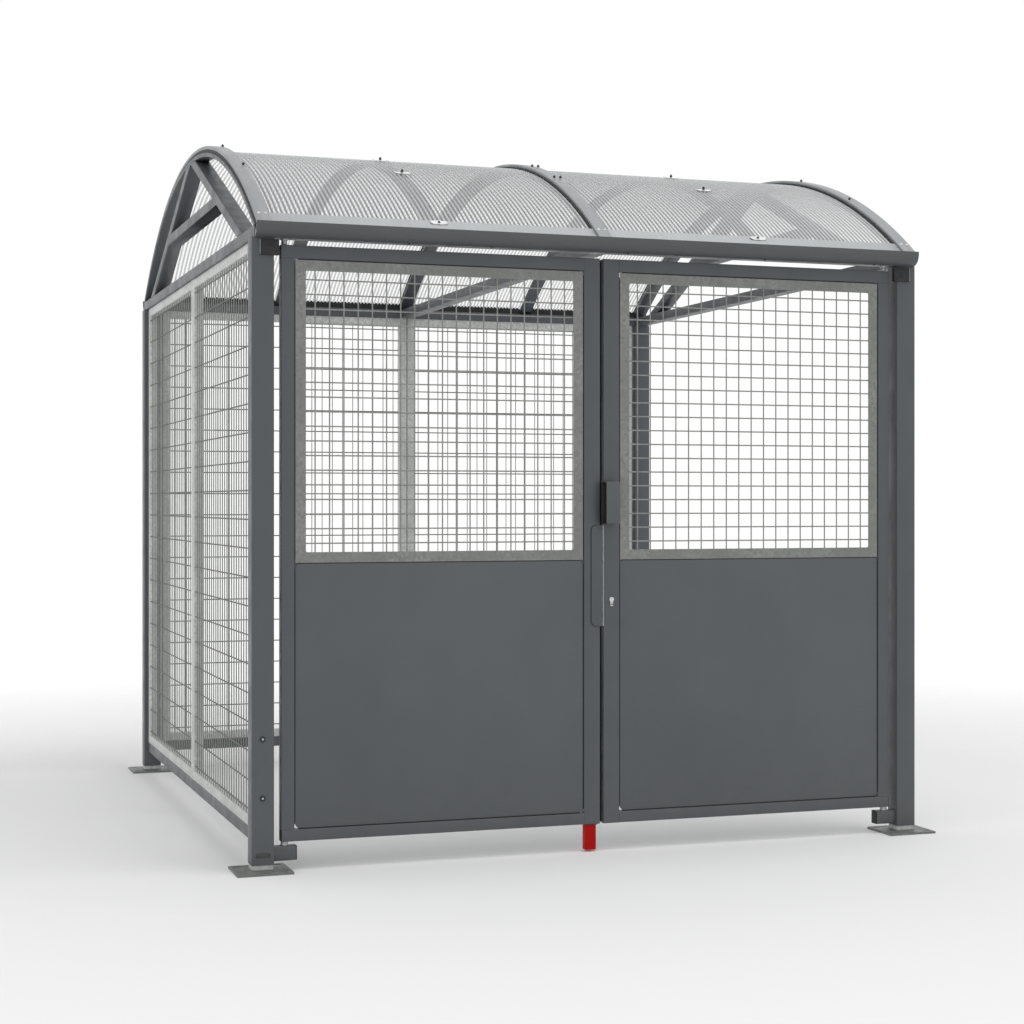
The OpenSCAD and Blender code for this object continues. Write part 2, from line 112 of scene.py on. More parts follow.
def ownAxes(tree):
    parts = addNode(tree, "SeparateXYZ")
    tree.links.new(ownPlace(tree), parts.inputs[0])
    return parts.outputs


def cloudy(tree, scale, detail=3.0, stretch=(1, 1, 1)):
    # soft noise in the object's own metres, from 0 to 1
    mapping = addNode(tree, "Mapping")
    mapping.inputs["Scale"].default_value = stretch
    noise = addNode(tree, "TexNoise")
    noise.inputs["Scale"].default_value = scale
    noise.inputs["Detail"].default_value = detail
    tree.links.new(ownPlace(tree), mapping.inputs["Vector"])
    tree.links.new(mapping.outputs["Vector"], noise.inputs["Vector"])
    return noise.outputs["Fac"]


def ramp(tree, source, stops):
    node = addNode(tree, "ValToRGB")
    node.color_ramp.elements[0].position = stops[0][0]
    node.color_ramp.elements[0].color = (*stops[0][1], 1)
    node.color_ramp.elements[1].position = stops[-1][0]
    node.color_ramp.elements[1].color = (*stops[-1][1], 1)
    for place, color in stops[1:-1]:
        node.color_ramp.elements.new(place).color = (*color, 1)
    tree.links.new(source, node.inputs["Fac"])
    return node.outputs["Color"]


def blendColors(tree, factor, first, second):
    node = addNode(tree, "Mix", data_type="RGBA")
    for socket, value in ((0, factor), (6, first), (7, second)):
        if isinstance(value, (int, float)):
            node.inputs[socket].default_value = value
        elif isinstance(value, tuple):
            node.inputs[socket].default_value = (*value, 1)
        else:
            tree.links.new(value, node.inputs[socket])
    return node.outputs[2]


def spread(tree, source, fromLow, fromHigh, toLow, toHigh):
    node = addNode(tree, "MapRange")
    for place, value in enumerate((fromLow, fromHigh, toLow, toHigh), 1):
        node.inputs[place].default_value = value
    tree.links.new(source, node.inputs[0])
    return node.outputs[0]


def addBump(tree, shader, source, strength, distance):
    bump = addNode(tree, "Bump")
    bump.inputs["Strength"].default_value = strength
    bump.inputs["Distance"].default_value = distance
    tree.links.new(source, bump.inputs["Height"])
    feed(shader, "Normal", bump.outputs["Normal"])


def splashBack(tree, reach):
    # 1 at the floor, fading out at this height
    return spread(tree, ownAxes(tree)["Z"], 0.0, reach, 1.0, 0.0)


def powderCoat(name, color, rough=0.42):
    mat, tree, shader = newFinish(name, color, rough)
    weather = cloudy(tree, 3.2, 5.0)
    streaks = cloudy(tree, 9.0, 4.0, (1, 1, 0.12))
    base = ramp(tree, weather, [(0.34, shade(color, 0.955)), (0.66, shade(color, 1.045))])
    base = blendColors(tree, spread(tree, streaks, 0.5, 0.78, 0.0, 0.12), base, shade(color, 1.3))
    dust = blendColors(tree, spread(tree, cloudy(tree, 26.0, 4.0), 0.35, 0.7, 0.1, 0.6), (0, 0, 0), (1, 1, 1))
    grime = mathNode(tree, "MULTIPLY", splashBack(tree, 0.4), dust)
    base = blendColors(tree, spread(tree, grime, 0.0, 1.0, 0.0, 0.2), base, srgb(122, 117, 106))
    feed(shader, "Base Color", base)
    feed(shader, "Roughness", spread(tree, cloudy(tree, 14.0), 0.3, 0.7, rough - 0.07, rough + 0.12))
    addBump(tree, shader, cloudy(tree, 900.0, 1.0), 0.12, 0.0004)
    return mat


def zincCoat(name, color, metal=0.55, rough=0.46):
    # hot dip zinc: small crystals, dulled by weather
    mat, tree, shader = newFinish(name, color, rough, metal)
    crystals = addNode(tree, "TexVoronoi")
    crystals.inputs["Scale"].default_value = 95.0
    tree.links.new(ownPlace(tree), crystals.inputs["Vector"])
    tone = ramp(tree, crystals.outputs["Color"], [(0.1, shade(color, 0.8)), (0.9, shade(color, 1.2))])
    patches = spread(tree, cloudy(tree, 7.0, 4.0), 0.35, 0.7, 0.1, 0.8)
    feed(shader, "Base Color", blendColors(tree, patches, tone, shade(color, 0.78)))
    gloss = spread(tree, crystals.outputs["Distance"], 0.0, 0.7, rough - 0.1, rough + 0.12)
    feed(shader, "Roughness", gloss)
    addBump(tree, shader, cloudy(tree, 240.0, 3.0), 0.15, 0.0006)
    return mat


def trimMetal(name, color, rough=0.42):
    # drawn aluminium: faint lines along the profile, dull patches
    mat, tree, shader = newFinish(name, color, rough, 0.35)
    lines = cloudy(tree, 60.0, 3.0, (6, 0.05, 0.05))
    base = ramp(tree, lines, [(0.3, shade(color, 0.92)), (0.7, shade(color, 1.06))])
    patches = spread(tree, cloudy(tree, 5.0, 5.0), 0.45, 0.75, 0.0, 0.25)
    feed(shader, "Base Color", blendColors(tree, patches, base, shade(color, 0.78)))
    feed(shader, "Roughness", spread(tree, cloudy(tree, 11.0), 0.3, 0.7, rough - 0.08, rough + 0.14))
    addBump(tree, shader, lines, 0.1, 0.0003)
    return mat


def blackRubber(name, color=(0.009, 0.009, 0.010)):
    mat, tree, shader = newFinish(name, color, 0.65)
    base = ramp(tree, cloudy(tree, 60.0, 4.0), [(0.3, color), (0.75, shade(color, 2.6))])
    feed(shader, "Base Color", base)
    addBump(tree, shader, cloudy(tree, 500.0, 2.0), 0.2, 0.0004)
    return mat


def redPaint(name):
    color = srgb(180, 6, 6)
    mat, tree, shader = newFinish(name, color, 0.5)
    shader.inputs["Specular IOR Level"].default_value = 0.15
    worn = srgb(120, 14, 14)
    scuffs = ramp(tree, cloudy(tree, 70.0, 5.0, (1, 1, 0.35)), [(0.3, color), (0.7, color), (0.84, worn)])
    feed(shader, "Base Color", scuffs)
    addBump(tree, shader, cloudy(tree, 500.0, 2.0), 0.12, 0.0004)
    return mat


def flutedClear(name, pitch, paleLow, paleHigh, grey, coverPale, coverGrey):
    # wavy clear sheet: each flute shows a pale band and a grey one where light bends away;
    # a skin is seen from its own side only, so the two skins don't double each other
    mat, tree, shader = newFinish(name, grey, 0.32)
    axes = ownAxes(tree)
    wave = mathNode(tree, "COSINE", mathNode(tree, "MULTIPLY", axes["X"], 2 * math.pi / pitch))
    bands = spread(tree, wave, -0.35, 0.35, 0.0, 1.0)
    # the pale band is painted darker towards the crest: painted shade for the grazing view there
    pale = blendColors(tree, spread(tree, axes["Z"], 2.22, 2.6, 0.0, 1.0), paleLow, paleHigh)
    tone = blendColors(tree, bands, grey, pale)
    grime = spread(tree, cloudy(tree, 4.0, 5.0, (1, 0.3, 0.3)), 0.45, 0.75, 0.0, 0.18)
    feed(shader, "Base Color", blendColors(tree, grime, tone, grey))
    skin = addNode(tree, "NewGeometry")
    own = spread(tree, skin.outputs["Backfacing"], 0.0, 1.0, 1.0, 0.0)
    solid = spread(tree, bands, 0.0, 1.0, coverGrey, coverPale)
    feed(shader, "Alpha", mathNode(tree, "MULTIPLY", solid, own))
    return mat


paint = powderCoat("greyPowderCoat", srgb(83, 87, 91))
sheetPaint = powderCoat("greySheetCoat", srgb(87, 91, 95), 0.36)
gutterPaint = powderCoat("greyGutterCoat", srgb(84, 87, 90), 0.4)
zinc = zincCoat("dullZinc", srgb(138, 140, 137), 0.3)
feetZinc = zincCoat("feetZinc", srgb(122, 124, 122), 0.3)
zincWire = zincCoat("zincWire", srgb(150, 151, 147), 0.3, 0.5)
# the wall's zinc is a lighter copy (painted light on the wall frames, also used for the feet's bright
# sleeves); its wires get darker copies (painted shade)
wallZinc = zincCoat("wallZinc", srgb(212, 214, 212), 0.2)
shadedWallWire = zincCoat("shadedWallWire", srgb(108, 109, 106), 0.2, 0.55)
shadedWallUpright = zincCoat("shadedWallUpright", srgb(152, 157, 151), 0.2, 0.5)
platePaint = powderCoat("blankPlateCoat", srgb(60, 62, 64), 0.5)
trim = trimMetal("silverTrim", srgb(149, 152, 154))
eaveTrimMetal = trimMetal("eaveTrimMetal", srgb(172, 175, 177))
rubber = blackRubber("blackRubber")
blackPlastic = blackRubber("blackPlastic", (0.010, 0.010, 0.011))
boltRed = redPaint("boltRed")
flutePitch = 0.0167
# top skin: the pale band's darker tone at the crest is painted shade
sheetTop = flutedClear("flutedSheetTop", flutePitch, srgb(240, 242, 242), srgb(178, 180, 181),
                       srgb(128, 131, 132), 0.62, 0.92)
# under skin: lighter tones than the top skin, painted light for sky coming through the sheet
sheetUnder = flutedClear("flutedSheetUnder", flutePitch, srgb(238, 240, 240), srgb(224, 227, 227),
                         srgb(178, 181, 182), 0.06, 0.58)
screwZinc = zincCoat("screwZinc", srgb(196, 198, 198), 0.4, 0.35)
darkScrew = blackRubber("darkScrew", (0.020, 0.021, 0.022))
saddleWhite = zincCoat("saddleWasher", srgb(236, 237, 237), 0.1, 0.35)
print("finishes ready")


# shaping

def placeObject(name, data):
    thing = bpy.data.objects.new(name, data)
    bpy.context.scene.collection.objects.link(thing)
    return thing


def finishPiece(name, bm, finish, body, replaced=(), angle=32):
    bmesh.ops.remove_doubles(bm, verts=bm.verts, dist=0.00001)
    bmesh.ops.recalc_face_normals(bm, faces=bm.faces)
    mesh = bpy.data.meshes.new(name)
    bm.to_mesh(mesh)
    bm.free()
    for face in mesh.polygons:
        face.use_smooth = True
    mesh.set_sharp_from_angle(angle=math.radians(angle))
    piece = placeObject(name, mesh)
    for one in (finish if isinstance(finish, list) else [finish]):
        mesh.materials.append(one)
    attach(piece, body)
    if replaced:
        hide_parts(*replaced)


def onlyVerts(made):
    return [v for v in made if isinstance(v, bmesh.types.BMVert)]


def allOf(bm):
    return list(bm.verts) + list(bm.edges) + list(bm.faces)


def runsAlong(edge, axis):
    return abs((edge.verts[1].co - edge.verts[0].co).normalized()[axis]) > 0.9


def bevelEdges(bm, edges, offset, segments=2):
    bmesh.ops.bevel(bm, geom=edges, offset=offset, offset_type="OFFSET", affect="EDGES",
                    segments=segments, profile=0.5, material=-1)


def startBox(bm, a, b):
    a, b = Vector(a), Vector(b)
    made = bmesh.ops.create_cube(bm, size=1.0)["verts"]
    bmesh.ops.scale(bm, vec=b - a, verts=made)
    bmesh.ops.translate(bm, vec=(a + b) / 2, verts=made)
    return made


def addBar(bm, a, b, radius=0.002, segments=2, along=None, slotIndex=0):
    # a bar from corner to corner; with along, only the edges that run that way are rounded
    made = startBox(bm, a, b)
    edges = list({e for v in made for e in v.link_edges})
    faces = list({f for v in made for f in v.link_faces})
    for face in faces:
        face.material_index = slotIndex
    if along is not None:
        edges = [e for e in edges if runsAlong(e, along)]
    if radius:
        bevelEdges(bm, edges, radius, segments)


def addAcross(bm, x0, x1, y, z, radius, segments=2, along=None, slotIndex=0):
    # a bar given by its limits on each axis; the two in x may come in either order
    addBar(bm, (min(x0, x1), y[0], z[0]), (max(x0, x1), y[1], z[1]), radius, segments, along, slotIndex)


def addRod(bm, a, b, radius, sides=12, slotIndex=0, radius2=None):
    a, b = Vector(a), Vector(b)
    turn = (b - a).to_track_quat("Z", "Y").to_matrix().to_4x4()
    made = bmesh.ops.create_cone(bm, cap_ends=True, segments=sides, radius1=radius,
                                 radius2=radius if radius2 is None else radius2, depth=(b - a).length,
                                 matrix=Matrix.Translation((a + b) / 2) @ turn)["verts"]
    for face in {f for v in made for f in v.link_faces}:
        face.material_index = slotIndex


def addRolled(bm, x0, x1, r0, r1, centreZ, cutY=None, cutZ=None, corner=0.0015, steps=72, slotIndex=0):
    # a bar of rounded section rolled to the roof's curve, cut off level (cutZ) or upright (cutY)
    rollOutline(bm, [(x0, r0), (x1, r0), (x1, r1), (x0, r1)], centreZ, cutY, cutZ, corner, steps, slotIndex)


def rollOutline(bm, outline, centreZ, cutY=None, cutZ=None, corner=0.0, steps=72, slotIndex=0):
    part = bmesh.new()
    reach = math.asin(min(0.99, high.y / min(r for x, r in outline))) + 0.02
    corners = [part.verts.new((x, -math.sin(reach) * r, centreZ + math.cos(reach) * r)) for x, r in outline]
    part.faces.new(corners)
    if corner:
        bmesh.ops.bevel(part, geom=corners, offset=corner, offset_type="OFFSET", affect="VERTICES",
                        segments=2, profile=0.5, material=-1)
    bmesh.ops.delete(part, geom=list(part.faces), context="FACES_ONLY")
    bmesh.ops.spin(part, geom=list(part.verts) + list(part.edges), cent=(0, 0, centreZ), axis=(-1, 0, 0),
                   angle=2 * reach, steps=steps, use_merge=False, use_duplicate=False)
    planes = []
    if cutY is not None:
        planes += [((0, cutY, 0), (0, 1, 0)), ((0, -cutY, 0), (0, -1, 0))]
    if cutZ is not None:
        planes += [((0, 0, cutZ), (0, 0, -1))]
    for place, normal in planes:
        bmesh.ops.bisect_plane(part, geom=allOf(part), dist=0.00001, plane_co=place, plane_no=normal,
                               clear_outer=True)
    bmesh.ops.holes_fill(part, edges=[e for e in part.edges if e.is_boundary], sides=0)
    for face in part.faces:
        face.material_index = slotIndex
    mergeInto(bm, part)


def mergeInto(bm, part):
    mesh = bpy.data.meshes.new("scratch")
    part.to_mesh(mesh)
    part.free()
    bm.from_mesh(mesh)
    bpy.data.meshes.remove(mesh)


def nodeBar(node, name, radius, along):
    a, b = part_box(node)
    bm = bmesh.new()
    addBar(bm, a, b, radius, 3, along)
    finishPiece(name, bm, paint, "frame", [node])


def softened(node, name, finish, radius, slack=30):
    # the CAD shape with its sharp edges rounded
    bm = bmesh.new()
    bm.from_mesh(frame["nodes"][node].data)
    bmesh.ops.remove_doubles(bm, verts=bm.verts, dist=0.00002)
    bmesh.ops.dissolve_limit(bm, angle_limit=math.radians(0.4), verts=bm.verts, edges=bm.edges)
    sharp = [e for e in bm.edges if len(e.link_faces) == 2 and e.calc_face_angle(0) > math.radians(slack)]
    bmesh.ops.bevel(bm, geom=sharp, offset=radius, offset_type="OFFSET", affect="EDGES", segments=2,
                    profile=0.5, material=-1, clamp_overlap=True)
    finishPiece(name, bm, finish, "frame", [node])


# posts, beams and rails

tubeRadius = {"post": 0.0035, "beam": 0.003, "rail": 0.003}

for node in ("front_left_post", "front_right_post", "rear_left_post", "rear_right_post"):
    nodeBar(node, node.replace("_", ""), tubeRadius["post"], 2)
for node in ("left_tie_beam", "middle_tie_beam", "right_tie_beam"):
    nodeBar(node, node.replace("_", ""), tubeRadius["beam"], 1)
for node in ("front_eave_beam", "rear_eave_beam"):
    nodeBar(node, node.replace("_", ""), tubeRadius["beam"], 0)
nodeBar("left_lower_rail", "leftLowerRail", tubeRadius["rail"], 1)
nodeBar("rear_lower_rail", "rearLowerRail", tubeRadius["rail"], 0)
for side in ("left", "right"):
    softened(side + "_gable_brace", side + "GableBrace", paint, 0.003)
softened("feet", "feet", feetZinc, 0.0012, 50)
print("posts, beams and rails built")


# roof: the curve is worked out from the arch's own box

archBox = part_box("middle_arch")
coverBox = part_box("roof_covers")
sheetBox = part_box("left_roof_sheet")
roofCurve = {"archThick": 0.016, "sheetThick": 0.012, "coverThick": 0.014, "trimThick": 0.005,
             "coverWide": 0.05, "footIn": 0.0266}
beamTop = archBox[0].z
underside = archBox[1].z - roofCurve["archThick"]
rise = underside - beamTop
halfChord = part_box("left_tie_beam")[1].y - roofCurve["footIn"]
archIn = (halfChord ** 2 + rise ** 2) / (2 * rise)
centreZ = underside - archIn
archOut = archIn + roofCurve["archThick"]
sheetOut = archOut + roofCurve["sheetThick"]
coverOut = sheetOut + roofCurve["coverThick"]
frameX = []
for node in ("left_arch", "left_quarter_arch", "middle_arch", "right_quarter_arch", "right_arch"):
    a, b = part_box(node)
    frameX.append((a.x + b.x) / 2)
    bm = bmesh.new()
    addRolled(bm, a.x, b.x, archIn, archOut, centreZ, cutY=b.y, cutZ=beamTop, corner=0.003)
    finishPiece(node.replace("_", ""), bm, paint, "frame", [node], 40)

flutes = {"pitch": flutePitch, "tall": 0.0078, "thick": 0.0012, "perFlute": 6, "steps": 46, "sit": 0.0004}


def fluteRise(x):
    # height of the sheet's underside over the arches
    return flutes["sit"] + flutes["tall"] * (0.5 + 0.5 * math.cos(2 * math.pi * x / flutes["pitch"]))


for node in ("left_roof_sheet", "right_roof_sheet"):
    a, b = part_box(node)
    x0, x1 = a.x + 0.0006, b.x - 0.0006
    count = round((x1 - x0) / flutes["pitch"] * flutes["perFlute"])
    places = [x0 + (x1 - x0) * i / count for i in range(count + 1)]
    outline = [(x, archOut + fluteRise(x)) for x in places]
    outline += [(x, archOut + fluteRise(x) + flutes["thick"]) for x in reversed(places)]
    bm = bmesh.new()
    rollOutline(bm, outline, centreZ, cutY=b.y - 0.001, steps=flutes["steps"])
    bmesh.ops.recalc_face_normals(bm, faces=bm.faces)
    for face in bm.faces:
        face.material_index = 1 if face.normal.z < 0 else 0
    finishPiece(node.replace("_", ""), bm, [sheetTop, sheetUnder], "frame", [node], 60)

# rubber closure strips between eave beams and sheets, shaped to the flutes
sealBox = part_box("eave_seals")
seal = {"deep": 0.012, "perFlute": 8, "fromFrame": 0.03, "endGap": 0.0005}
bm = bmesh.new()
for sign in (-1, 1):
    outY = sign * sealBox[1].y
    for bay in range(4):
        x0 = frameX[bay] + seal["fromFrame"] + seal["endGap"]
        x1 = frameX[bay + 1] - seal["fromFrame"] - seal["endGap"]
        count = round((x1 - x0) / flutes["pitch"] * seal["perFlute"])
        ridge = centreZ + math.sqrt(archOut ** 2 - outY ** 2) - 0.0004
        part = bmesh.new()
        ring = [part.verts.new((x0, outY, beamTop)), part.verts.new((x1, outY, beamTop))]
        for i in range(count, -1, -1):
            x = x0 + (x1 - x0) * i / count
            ring.append(part.verts.new((x, outY, ridge + fluteRise(x))))
        face = part.faces.new(ring)
        made = bmesh.ops.extrude_face_region(part, geom=[face])["geom"]
        pushed = onlyVerts(made)
        bmesh.ops.translate(part, vec=(0, -sign * seal["deep"], 0), verts=pushed)
        inY = outY - sign * seal["deep"]
        climb = math.sqrt(archOut ** 2 - inY ** 2) - math.sqrt(archOut ** 2 - outY ** 2)
        bmesh.ops.translate(part, vec=(0, 0, climb), verts=[v for v in pushed if v.co.z > beamTop + 0.001])
        mergeInto(bm, part)
finishPiece("eaveSeals", bm, rubber, "frame", ["eave_seals"])

cover = {"corner": 0.003, "seal": 0.006, "sealIn": 0.0008, "sealLow": 0.0066, "endSealLow": 0.0003,
         "sealRound": 0.0006, "lip": 0.006, "lipLow": 0.0098, "shy": 0.001}
bm = bmesh.new()
for place in (0, 2, 4):
    x = frameX[place]
    half = roofCurve["coverWide"] / 2
    addRolled(bm, x - half, x + half, sheetOut + 0.0002, coverOut, centreZ,
              cutY=coverBox[1].y, corner=cover["corner"])
    # rubber seals along both edges, showing as a dark line under the cover
    for edge in (-1, 1):
        outer = x + edge * (half - cover["sealIn"])
        inner = outer - edge * cover["seal"]
        atEnd = (place == 0 and edge < 0) or (place == 4 and edge > 0)
        strips = [(inner, cover["endSealLow"] if atEnd else cover["sealLow"], 0.0022)]
        if not atEnd:
            strips.append((outer + edge * cover["lip"], cover["lipLow"], 0.003))
        for other, low, over in strips:
            addRolled(bm, min(outer, other), max(outer, other), archOut + low, sheetOut + over, centreZ,
                      cutY=coverBox[1].y - cover["shy"], corner=cover["sealRound"], slotIndex=1)
finishPiece("roofCovers", bm, [trim, rubber], "frame", ["roof_covers"], 40)

for node in ("front_eave_trim", "rear_eave_trim"):
    a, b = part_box(node)
    bm = bmesh.new()
    half = roofCurve["coverWide"] / 2
    for x0, x1 in ((frameX[0] + half, -half), (half, frameX[4] - half)):
        part = bmesh.new()
        addRolled(part, x0 + 0.0003, x1 - 0.0003, sheetOut + 0.0003, sheetOut + roofCurve["trimThick"],
                  centreZ, cutY=max(abs(a.y), abs(b.y)), corner=0.001)
        inner = min(abs(a.y), abs(b.y))
        sign = 1 if b.y > 0 else -1
        bmesh.ops.bisect_plane(part, geom=allOf(part), dist=0.00001, plane_co=(0, sign * inner, 0),
                               plane_no=(0, -sign, 0), clear_outer=True)
        bmesh.ops.holes_fill(part, edges=[e for e in part.edges if e.is_boundary], sides=0)
        mergeInto(bm, part)
    finishPiece(node.replace("_", ""), bm, eaveTrimMetal, "frame", [node], 40)


def onRoof(x, angle, radius):
    turn = math.radians(angle)
    across, up = math.sin(turn), math.cos(turn)
    return Vector((x, across * radius, centreZ + up * radius)), Vector((0, across, up))


def addScrew(bm, place, normal, head, tall, washer=0.0):
    # a dark hexagon head with a point of thread over it, on a small round washer
    if washer:
        addRod(bm, place - normal * 0.0006, place + normal * 0.0016, washer, 16, 0, washer * 0.9)
    addRod(bm, place + normal * 0.0008, place + normal * tall * 0.72, head, 6, 1)
    addRod(bm, place + normal * tall * 0.7, place + normal * tall, head * 0.62, 12, 1, head * 0.35)


def addSaddle(bm, place, normal, wide, deep):
    # a bright pressed washer that straddles a flute, its wings bent up a little
    part = bmesh.new()
    made = bmesh.ops.create_grid(part, x_segments=12, y_segments=4, size=0.5)["verts"]
    for v in made:
        u = v.co.x * 2
        v.co.z = 0.004 * u * u * u * u - 0.0016 * abs(u)
        v.co.y *= 1 - 0.35 * u * u
    bmesh.ops.scale(part, vec=(wide, deep, 1), verts=made)
    bmesh.ops.solidify(part, geom=list(part.faces), thickness=0.0012)
    turn = normal.to_track_quat("Z", "Y").to_matrix().to_4x4()
    bmesh.ops.transform(part, matrix=Matrix.Translation(place + normal * 0.0026) @ turn, verts=part.verts)
    for face in part.faces:
        face.material_index = 2
    mergeInto(bm, part)


# angles are from the crest, in degrees; eave is the angle past the trim's inner edge
screws = {"head": 0.0052, "tall": 0.011, "gable": (12.0, 22.4), "middle": (14.0, 20.4),
          "quarter": (12.2, 20.2), "eave": 0.3, "flat": 33.4, "gableIn": 0.012, "pairHalf": 0.0125,
          "pairShift": 0.006, "flatHalf": 0.012, "saddleWide": 0.06, "saddleDeep": 0.03}
trimInner = -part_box("front_eave_trim")[1].y
bm = bmesh.new()
crest = archOut + flutes["sit"] + flutes["tall"] + flutes["thick"]
for sign in (-1, 1):
    for place, shift in ((0, screws["gableIn"]), (4, -screws["gableIn"])):
        for angle in screws["gable"]:
            spot, normal = onRoof(frameX[place] + shift, sign * angle, coverOut)
            addScrew(bm, spot, normal, screws["head"], screws["tall"], 0.008)
    for angle in screws["middle"]:
        for half in (-1, 1):
            x = frameX[2] + screws["pairShift"] + half * screws["pairHalf"]
            spot, normal = onRoof(x, sign * angle, coverOut)
            addScrew(bm, spot, normal, screws["head"], screws["tall"], 0.0075)
    for place in (0, 2, 4):
        for half in (-1, 1):
            x = frameX[place] + half * screws["flatHalf"]
            spot, normal = onRoof(x, sign * screws["flat"], coverOut)
            addRod(bm, spot - normal * 0.0005, spot + normal * 0.0028, 0.0055, 16, 2, 0.0038)
    for place in (1, 3):
        x = frameX[place] + 0.01
        x = round(x / flutes["pitch"]) * flutes["pitch"]
        onTrim = math.degrees(math.asin(trimInner / sheetOut)) + screws["eave"]
        for angle in screws["quarter"] + (onTrim,):
            onSheet = angle < 30 or sign > 0
            spot, normal = onRoof(x, sign * angle, crest if onSheet else sheetOut + roofCurve["trimThick"])
            addSaddle(bm, spot, normal, screws["saddleWide"], screws["saddleDeep"])
            tall = screws["tall"] + 0.002 if angle < 30 else 0.004
            addScrew(bm, spot + normal * 0.003, normal, screws["head"], tall)
finishPiece("roofScrews", bm, [screwZinc, darkScrew, saddleWhite], "frame")
print("roof built")


# gutters

gutter = {"wall": 0.003, "round": 0.044, "under": 0.004, "past": 0.003}
sheetEdge = sheetBox[1].y


def buildGutter(node, sign):
    a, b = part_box(node)
    outY, backY = (a.y, b.y) if sign < 0 else (b.y, a.y)
    w, r = gutter["wall"], gutter["round"]
    bm = bmesh.new()
    start = bm.verts.new((a.x, outY, b.z))
    edge = bmesh.ops.extrude_vert_indiv(bm, verts=[start])
    tip = edge["verts"][0]
    tip.co.z = a.z + r
    centre = (0, outY - sign * r, a.z + r)
    bmesh.ops.spin(bm, geom=[tip], cent=centre, axis=(-sign, 0, 0), angle=math.pi / 2, steps=14,
                   use_merge=False, use_duplicate=False)
    bm.verts.ensure_lookup_table()
    tip = min(bm.verts, key=lambda v: (v.co - Vector((a.x, outY - sign * r, a.z))).length)
    made = bmesh.ops.extrude_vert_indiv(bm, verts=[tip])["verts"][0]
    made.co.y = backY
    made = bmesh.ops.extrude_vert_indiv(bm, verts=[made])["verts"][0]
    made.co.z = sheetBox[0].z - gutter["under"]
    made = bmesh.ops.extrude_edge_only(bm, edges=list(bm.edges))["geom"]
    bmesh.ops.translate(bm, vec=(b.x - a.x, 0, 0), verts=onlyVerts(made))
    bmesh.ops.recalc_face_normals(bm, faces=bm.faces)
    lowest = min(bm.faces, key=lambda f: f.calc_center_median().z)
    if lowest.normal.z > 0:
        bmesh.ops.reverse_faces(bm, faces=bm.faces)
    bmesh.ops.solidify(bm, geom=bm.faces, thickness=w)
    # end plates, a little inside the outline
    for x in (a.x + 0.0005, b.x - w - 0.0005):
        plate = bmesh.new()
        places = gutterRing(outY, backY, a.z, beamTop - 0.003, r, sign)
        face = plate.faces.new([plate.verts.new((x, y, z)) for y, z in places])
        made = bmesh.ops.extrude_face_region(plate, geom=[face])["geom"]
        bmesh.ops.translate(plate, vec=(w, 0, 0), verts=onlyVerts(made))
        bmesh.ops.recalc_face_normals(plate, faces=plate.faces)
        mergeInto(bm, plate)
    finishPiece(node.replace("_", ""), bm, gutterPaint, "frame", [node], 35)


def underSheet(y):
    # an end plate's upper edge, a little under the sheets
    return centreZ + math.sqrt(archOut ** 2 - min(abs(y), sheetEdge) ** 2) - gutter["under"]


def gutterRing(outY, backY, bottom, top, r, sign):
    # an end plate's outline: down the lip, round the corner, along the floor and back under the sheets
    inset = 0.0006
    lip = sign * (sheetEdge + gutter["past"])
    points = [(outY - sign * inset, top)]
    for step in range(13):
        turn = math.pi / 2 * step / 12
        inward = inset + (r - inset) * (1 - math.cos(turn))
        points.append((outY - sign * inward, bottom + r - (r - inset) * math.sin(turn)))
    start = backY + sign * inset
    points.append((start, bottom + inset))
    for step in range(8):
        y = start + (lip - start) * step / 7
        points.append((y, underSheet(y)))
    points.append((lip, top))
    return points


buildGutter("front_gutter", -1)
buildGutter("rear_gutter", 1)
print("gutters built")


# wall panels: welded mesh in a frame of square tube

wallPanel = {"bar": 0.036, "wire": 0.0025, "thinWire": 0.002, "upright": 0.05, "level": 0.1,
             "plane": 0.002, "corner": 0.002, "buried": 0.004}


def wirePlaces(first, last, pitch):
    count = int((last - first) / pitch) - 1
    middle = (first + last) / 2
    return [middle + (i - count / 2) * pitch for i in range(count + 1)]


def buildWallPanel(node, outSign, along):
    # along is the axis the panel runs on; outSign says where outside is, on the other level axis
    a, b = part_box(node)
    across = 1 - along
    size = wallPanel
    bm = bmesh.new()

    def corner(u, v, z):
        place = [0, 0, z]
        place[along] = u
        place[across] = v
        return place

    u0, u1, z0, z1 = a[along], b[along], a.z, b.z
    v0, v1 = a[across], b[across]
    bar = size["bar"]
    for p, q, run in (((u0, z0), (u0 + bar, z1), 2), ((u1 - bar, z0), (u1, z1), 2),
                      ((u0 + bar, z0), (u1 - bar, z0 + bar), along),
                      ((u0 + bar, z1 - bar), (u1 - bar, z1), along)):
        addBar(bm, corner(p[0], v0, p[1]), corner(q[0], v1, q[1]), size["corner"], 3, run)
    outer = v0 if outSign < 0 else v1
    level = outer - outSign * (size["plane"] + size["wire"])
    upright = level - outSign * (size["wire"] + size["thinWire"] * 0.8)
    # the wires' ends are buried in the frame
    reach = bar - size["buried"]
    for u in wirePlaces(u0 + bar, u1 - bar, size["upright"]):
        addRod(bm, corner(u, upright, z0 + reach), corner(u, upright, z1 - reach), size["thinWire"], 8, 2)
    z = z1 - bar - 0.019
    while z > z0 + bar + 0.01:
        addRod(bm, corner(u0 + reach, level, z), corner(u1 - reach, level, z), size["wire"], 8, 1)
        z -= size["level"]
    # lighter zinc on the frame as painted light, darker zinc on the wires as painted shade
    finishes = [wallZinc, shadedWallWire, shadedWallUpright]
    finishPiece(node.replace("_", ""), bm, finishes, "frame", [node], 40)


buildWallPanel("left_front_wall_mesh", -1, 1)
buildWallPanel("left_rear_wall_mesh", -1, 1)
buildWallPanel("rear_left_wall_mesh", 1, 0)
buildWallPanel("rear_right_wall_mesh", 1, 0)
print("wall panels built")


# gates

